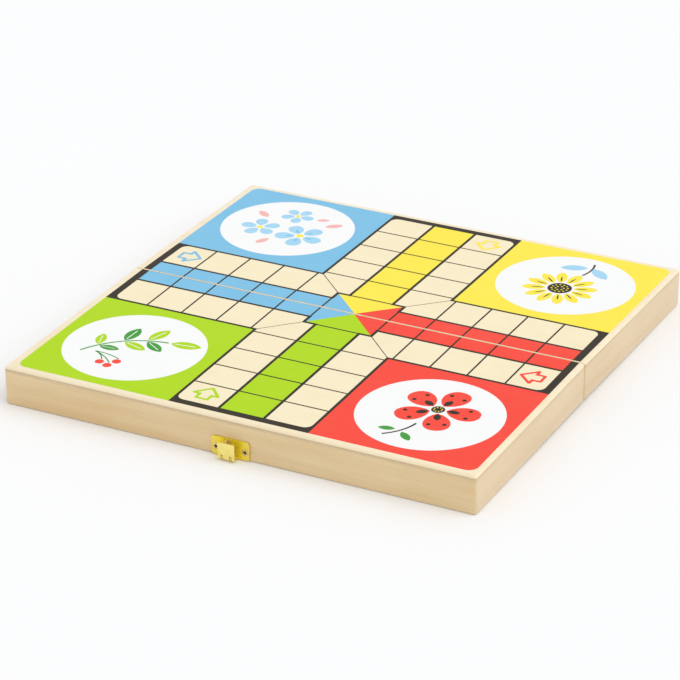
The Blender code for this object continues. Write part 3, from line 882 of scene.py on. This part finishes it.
# The yellow disc's picture: a flower with twelve narrow yellow petals round a black heart full of
# seeds, on a black stem between two pale blue leaves. It faces the player behind the board.
flower_middle = (0, 0.0060)
petal_count = 12
petal_size, petal_start = (0.0150, 0.0070, 0.3), 0.0083
crease_size, crease_start = (0.0080, 0.0009), 0.0094
heart_radius = 0.0075
seed_radius = 0.0006
seed_rings = ((0.0025, 6), (0.0050, 12))
stem = ((0, -0.0180), (0.0030, -0.0360), -0.0016)
leaf_size = (0.0170, 0.0078)
leaf_places = [((0.0032, -0.0290), 32, 1), ((0.0002, -0.0300), 152, 1)]
yellow_turn = 168

petal_places = ring(flower_middle, petal_start, petal_count)
heart_places = [(flower_middle, 90, 1)]
crease_places = ring(flower_middle, crease_start, petal_count)
seed_places = [
    place for radius, count in seed_rings for place in ring(flower_middle, radius, count)
]
print_picture("yellow", yellow_turn, (
    ("petals", on_second_ink, placed(blade(*petal_size), petal_places), "yellow"),
    ("heart", on_second_ink, placed(add_disc(heart_radius, dot_sides), heart_places), "black"),
    ("seeds", on_third_ink, placed(add_disc(seed_radius, dot_sides), seed_places), "yellow"),
    ("creases", on_third_ink, placed(blade(*crease_size), crease_places), "black"),
    ("stem", on_second_ink, stroke(*stem, stem_width), "black"),
    ("leaves", on_second_ink, placed(blade(*leaf_size), leaf_places), "sky"),
))

# The blue disc's picture: three small five-petalled flowers of different sizes with yellow hearts, and
# pink buds between them. It faces the player behind the board too.
small_flowers = (
    ((-0.0120, 0.0080), 1.0, 90),
    ((0.0170, 0.0045), 0.80, 70),
    ((0.0015, -0.0205), 0.68, 100),
)
petal_count = 5
petal_size, petal_start = (0.0130, 0.0098, 1.0), 0.0030
mark_size, mark_start = (0.0050, 0.0016), 0.0045
heart_radius = 0.0024
bud_size = (0.0120, 0.0056)
bud_places = [
    ((-0.0210, -0.0110), 215, 1),
    ((0.0190, -0.0120), 320, 0.95),
    ((0.0045, 0.0190), 62, 0.9),
    ((-0.0120, -0.0190), 200, 0.7),
]
blue_turn = 184

petal_places = [
    place
    for middle, size, turn in small_flowers
    for place in ring(middle, petal_start * size, petal_count, turn, size)
]
mark_places = ring(small_flowers[0][0], mark_start, petal_count)
heart_places = [(middle, 90, size) for middle, size, turn in small_flowers]
print_picture("blue", blue_turn, (
    ("petals", on_second_ink, placed(blade(*petal_size), petal_places), "sky"),
    ("petal_marks", on_third_ink, placed(blade(*mark_size), mark_places), "blue"),
    ("hearts", on_second_ink, placed(add_disc(heart_radius, dot_sides), heart_places), "yellow"),
    ("buds", on_second_ink, placed(blade(*bud_size), bud_places), "pink"),
))

# The hinges: two brass butt hinges let in flush with the seam rails' rims, each of two rolled leaves
# on a pin, held by four countersunk brass screws. Their brass is a little toned.
hinge_pieces = [name for name in nodes if "_hinge_" in name]
hinge_bright = (0.80, 0.60, 0.22)
hinge_toned = (0.58, 0.38, 0.10)
hinge_toning = 0.7
hinge_roughness = (0.22, 0.38)
rolling_scale = (120, 5200, 5200)
rolling_tone = (0.40, 0.70, 0, 0.3)
rolling_bump = (0.10, 0.00002)
toning_scale = (300, 300, 300)
toning_span = (0.35, 0.70)


def make_worked_brass():
    """Sheet brass: rolling lines along X, and clouds of toning that are duller too."""
    group, given, made = new_group(
        "worked brass",
        {"Place": "Vector", "Bright": "Color", "Toned": "Color", "Toning": "Float"},
        {"Color": "Color", "Dullness": "Float", "Lines": "Float"},
    )
    place = given.outputs["Place"]
    lines = scaled_noise(group, place, rolling_scale, 3, 0.6)
    clouds = scaled_noise(group, place, toning_scale, 3, 0.6)
    clouded = ranged(group, clouds, *toning_span)
    tone = combined(group, clouded, ranged(group, lines, *rolling_tone))
    tone = combined(group, tone, given.outputs["Toning"], "MULTIPLY")
    colour = mixed(group, tone, given.outputs["Bright"], given.outputs["Toned"])
    feed(group, made, Color=colour, Dullness=ranged(group, clouds, *noise_span), Lines=lines)
    return group


worked_brass = make_worked_brass()


def metal_finish(name, bright, toned, toning, roughness):
    """A plated or plain metal, toned by a share, with its polished roughness and its dull one."""
    finish, tree, shader = new_finish(name, Metallic=1.0)
    place = place_on_object(tree)
    values = {"Place": place, "Bright": (*bright, 1), "Toned": (*toned, 1), "Toning": toning}
    metal = add_node(tree, "ShaderNodeGroup", values, node_tree=worked_brass)
    worn = ranged(tree, metal.outputs["Dullness"], 0, 1, *roughness)
    normal = raised(tree, metal.outputs["Lines"], *rolling_bump)
    feed(tree, shader, Base_Color=metal.outputs["Color"], Roughness=worn, Normal=normal)
    return finish


hinge_brass = metal_finish("hinge brass", hinge_bright, hinge_toned, hinge_toning, hinge_roughness)
dress(hinge_pieces, hinge_brass)

# The clasp: a stamped plate of bright brass on the front half's outer rail, with a flap curled round a
# pin in the plate's two ears. A painted reflection makes the plate's ends paler, and its ears are of a
# paler brass. Its three plated steel screws are darkened in their cross recesses, round their middles
# and at their rims, the top one least: grime and painted shade.
plate_bright = (0.91, 0.775, 0.055)
plate_toned = (0.87, 0.70, 0.035)
plate_roughness = (0.55, 0.70)
clasp_toning = 0.8
# The paler brass of a painted reflection on the plates' two ends.
painted_reflection_brass = (0.88, 0.72, 0.13)
ear_brass = (0.86, 0.72, 0.24)
flap_bright = (0.93, 0.80, 0.28)
flap_toned = (0.88, 0.72, 0.21)
flap_roughness = (0.40, 0.55)
painted_reflection_start = 0.0070
painted_reflection_end = 0.0088
ear_start = 0.0011
ear_end = 0.0020
plate_ease = 0.0001
screw_bright = (0.89, 0.74, 0.34)
screw_toned = (0.75, 0.55, 0.20)
screw_toning = 0.7
screw_roughness = (0.30, 0.45)
# Painted shade and grime on the screws: dark in their recesses, round their middles and at their rims.
screw_grime_and_shade = (0.07, 0.03, 0.006)
rim_grime_and_shade_share, middle_grime_and_shade_share = 0.7, 0.75
middle_grime_and_shade_start = 0.0007
middle_grime_and_shade_end = 0.0013
screw_rim = 0.0017
screw_radius = 0.0021
recess_start = 0.00005
grime_and_shade_roughness = 0.85
screw_ease = 0.00005
top_screw_grime_and_shade = 0.20


def dress_plate(name):
    """Gives a plate brass, its ends paler by a painted reflection, what stands out paler still."""
    title = f"{name.replace('_', ' ')} brass"
    finish = metal_finish(title, plate_bright, plate_toned, clasp_toning, plate_roughness)
    tree = finish.node_tree
    shader = tree.nodes["Principled BSDF"]
    low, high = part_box(name)
    middle = Vector(((low[0] + high[0]) / 2, 0, 0))
    back = min(abs(low[1]), abs(high[1]))
    place = place_on_object(tree, origin=middle)
    split = add_node(tree, "ShaderNodeSeparateXYZ", {0: place})
    from_middle = combined(tree, split.outputs["X"], 0.0, "ABSOLUTE")
    painted_reflection_at_end = ranged(tree, from_middle, painted_reflection_start, painted_reflection_end)
    from_seam = combined(tree, split.outputs["Y"], 0.0, "ABSOLUTE")
    out = ranged(tree, from_seam, back + ear_start, back + ear_end)
    worked = shader.inputs["Base Color"].links[0].from_socket
    # Painted reflection: the plate's two ends are mixed to a paler brass.
    with_painted_reflection = mixed(tree, painted_reflection_at_end, worked, (*painted_reflection_brass, 1))
    feed(tree, shader, Base_Color=mixed(tree, out, with_painted_reflection, (*ear_brass, 1)))
    dress((name,), finish, plate_ease)


def make_screw_grime_and_shade():
    """Painted shade and grime in and round a screw's recess and at its rim, from the head's middle,
    outward along -Y.
    """
    group, given, made = new_group("screw grime and painted shade", {"Place": "Vector"}, {"Dirt": "Float"})
    place = given.outputs["Place"]
    split = add_node(group, "ShaderNodeSeparateXYZ", {0: place})
    flat = add_node(group, "ShaderNodeVectorMath", {0: place, 1: (1, 0, 1)}, operation="MULTIPLY")
    reach = add_node(group, "ShaderNodeVectorMath", {0: flat.outputs[0]}, operation="LENGTH")
    radius = reach.outputs["Value"]
    sunk = ranged(group, split.outputs["Y"], recess_start, recess_start * 2)
    rim = ranged(group, radius, screw_rim, screw_radius, 0, rim_grime_and_shade_share)
    middle_grime_and_shade = ranged(group, radius, middle_grime_and_shade_start, middle_grime_and_shade_end, middle_grime_and_shade_share, 0)
    feed(group, made, Dirt=combined(group, sunk, combined(group, rim, middle_grime_and_shade, "MAXIMUM"), "MAXIMUM"))
    return group


screw_grime_and_shade_mask = make_screw_grime_and_shade()


def dress_screw(name, side, grime_and_shade_share=1.0):
    """Gives a clasp or catch screw its plated steel, with its share of grime and painted shade at its
    head.
    """
    title = f"{name.replace('_', ' ')} steel"
    finish = metal_finish(title, screw_bright, screw_toned, screw_toning, screw_roughness)
    tree = finish.node_tree
    shader = tree.nodes["Principled BSDF"]
    low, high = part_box(name)
    outward = low[1] if side == "front" else high[1]
    head = Vector(((low[0] + high[0]) / 2, outward, (low[2] + high[2]) / 2))
    place = place_on_object(tree, (board_tilt, 0, 0 if side == "front" else math.pi), head)
    mask = add_node(tree, "ShaderNodeGroup", {"Place": place}, node_tree=screw_grime_and_shade_mask)
    # Painted shade and grime: the head turns dark, matt and unmetallic where the mask lies.
    grime_and_shade = combined(tree, mask.outputs["Dirt"], grime_and_shade_share, "MULTIPLY")
    worked = shader.inputs["Base Color"].links[0].from_socket
    colour = mixed(tree, grime_and_shade, worked, (*screw_grime_and_shade, 1))
    metallic = ranged(tree, grime_and_shade, 0, 1, 1, 0)
    polish = shader.inputs["Roughness"].links[0].from_socket
    rough_grime_and_shade = ranged(tree, grime_and_shade, 0, 1, 0, grime_and_shade_roughness)
    roughness = combined(tree, polish, rough_grime_and_shade, "MAXIMUM")
    feed(tree, shader, Base_Color=colour, Metallic=metallic, Roughness=roughness)
    dress((name,), finish, screw_ease)


flap_brass = metal_finish("clasp flap brass", flap_bright, flap_toned, clasp_toning, flap_roughness)
dress_plate("clasp_plate")
dress(("clasp_flap",), flap_brass, plate_ease)
dress(("clasp_pin",), hinge_brass)
for name in ("clasp_left_screw", "clasp_right_screw"):
    dress_screw(name, "front")
dress_screw("clasp_top_screw", "front", top_screw_grime_and_shade)

# The catch: a stamped brass plate on the back half's outer rail, with a lip past which the flap's free
# edge closes. It is of the clasp's brass, with ends paler by a painted reflection and a paler lip, and
# has two of the same screws, darkened by the same grime and painted shade.
dress_plate("catch_plate")
for name in ("catch_left_screw", "catch_right_screw"):
    dress_screw(name, "back")

# The floor: a plain white sweep. It shows white to the camera and in the varnish, and keeps the
# board's soft shadow.
floor_reach = 6.0
floor_sides = 96
floor_level = -0.0002
floor_white = (0.890, 0.896, 0.904)
floor_bright = (0.900, 0.906, 0.914)
floor_clouds = (3, 3, 3)
floor_roughness = 0.9
floor_glow = 0.045


def seen_or_mirrored(tree):
    """1 for the rays that see a surface themselves or in a gloss, 0 for those that light others."""
    path = tree.nodes.new("ShaderNodeLightPath")
    seen = combined(tree, path.outputs["Is Camera Ray"], path.outputs["Is Glossy Ray"], "MAXIMUM")
    return combined(tree, seen, path.outputs["Is Transmission Ray"], "MAXIMUM")


def floor_finish():
    """Matt white that glows a little where it is seen, but doesn't light the board by it."""
    matt = {"Roughness": floor_roughness, "Specular_IOR_Level": 0.0}
    finish, tree, shader = new_finish("white studio floor", **matt)
    seen = seen_or_mirrored(tree)
    clouds = scaled_noise(tree, place_on_object(tree), floor_clouds, 2)
    clouded = ranged(tree, clouds, *noise_span)
    colour = mixed(tree, clouded, (*floor_white, 1), (*floor_bright, 1))
    shader.inputs["Emission Color"].default_value = (1, 1, 1, 1)
    glow = combined(tree, seen, floor_glow, "MULTIPLY")
    feed(tree, shader, Base_Color=colour, Emission_Strength=glow)
    return finish


floor = add_disc(floor_reach, floor_sides, (0, 0, floor_level))
floor.name = "studio_floor"
floor.data.materials.append(floor_finish())

# The light: an even white room, which the varnish and the brass mirror, and one wide soft lamp far
# above the board, to its right. They light the floor evenly to its ends.
room_light = 0.78
lamp_share = 0.26
lamp_side = Vector((0.72, 0.05, 1.0)).normalized()
lamp_spread = math.radians(60)

world = bpy.data.worlds.new("white room")
bpy.context.scene.world = world
world.use_nodes = True
tree = world.node_tree
background = tree.nodes["Background"]
background.inputs["Color"].default_value = (1, 1, 1, 1)
strength = ranged(tree, seen_or_mirrored(tree), 0, 1, room_light, 1.0)
feed(tree, background, Strength=strength)

start_afresh()
bpy.ops.object.light_add(type="SUN", location=lamp_side)
lamp = bpy.context.object
lamp.name = "soft_lamp"
lamp.data.energy = lamp_share * math.pi / lamp_side.z
lamp.data.angle = lamp_spread
lamp.visible_glossy = False
lamp.rotation_euler = lamp_side.to_track_quat("Z", "Y").to_euler()

# The camera: a long lens, low over the board's front right corner, fitted to the lines of the print
# and the corners of the box in the photograph.
camera_azimuth = math.radians(27.006)
camera_elevation = math.radians(25.912)
camera_roll = math.radians(-0.2152)
camera_distance = 1.81533
camera_target = Vector((0.00945, -0.03443, 0.0255))
camera_lens = 164.06
camera_sensor = 36
camera_near, camera_far = 0.05, 50

back = Vector((
    math.sin(camera_azimuth) * math.cos(camera_elevation),
    -math.cos(camera_azimuth) * math.cos(camera_elevation),
    math.sin(camera_elevation),
))
right = Vector((math.cos(camera_azimuth), math.sin(camera_azimuth), 0))
up = back.cross(right)
rolled_right = right * math.cos(camera_roll) + up * math.sin(camera_roll)
rolled_up = up * math.cos(camera_roll) - right * math.sin(camera_roll)
bpy.ops.object.camera_add(location=camera_target + back * camera_distance)
camera = bpy.context.object
camera.rotation_euler = Matrix((rolled_right, rolled_up, back)).transposed().to_euler()
camera.data.lens = camera_lens
camera.data.sensor_width = camera_sensor
camera.data.clip_start = camera_near
camera.data.clip_end = camera_far
bpy.context.scene.camera = camera
bpy.context.scene.view_settings.view_transform = "Standard"
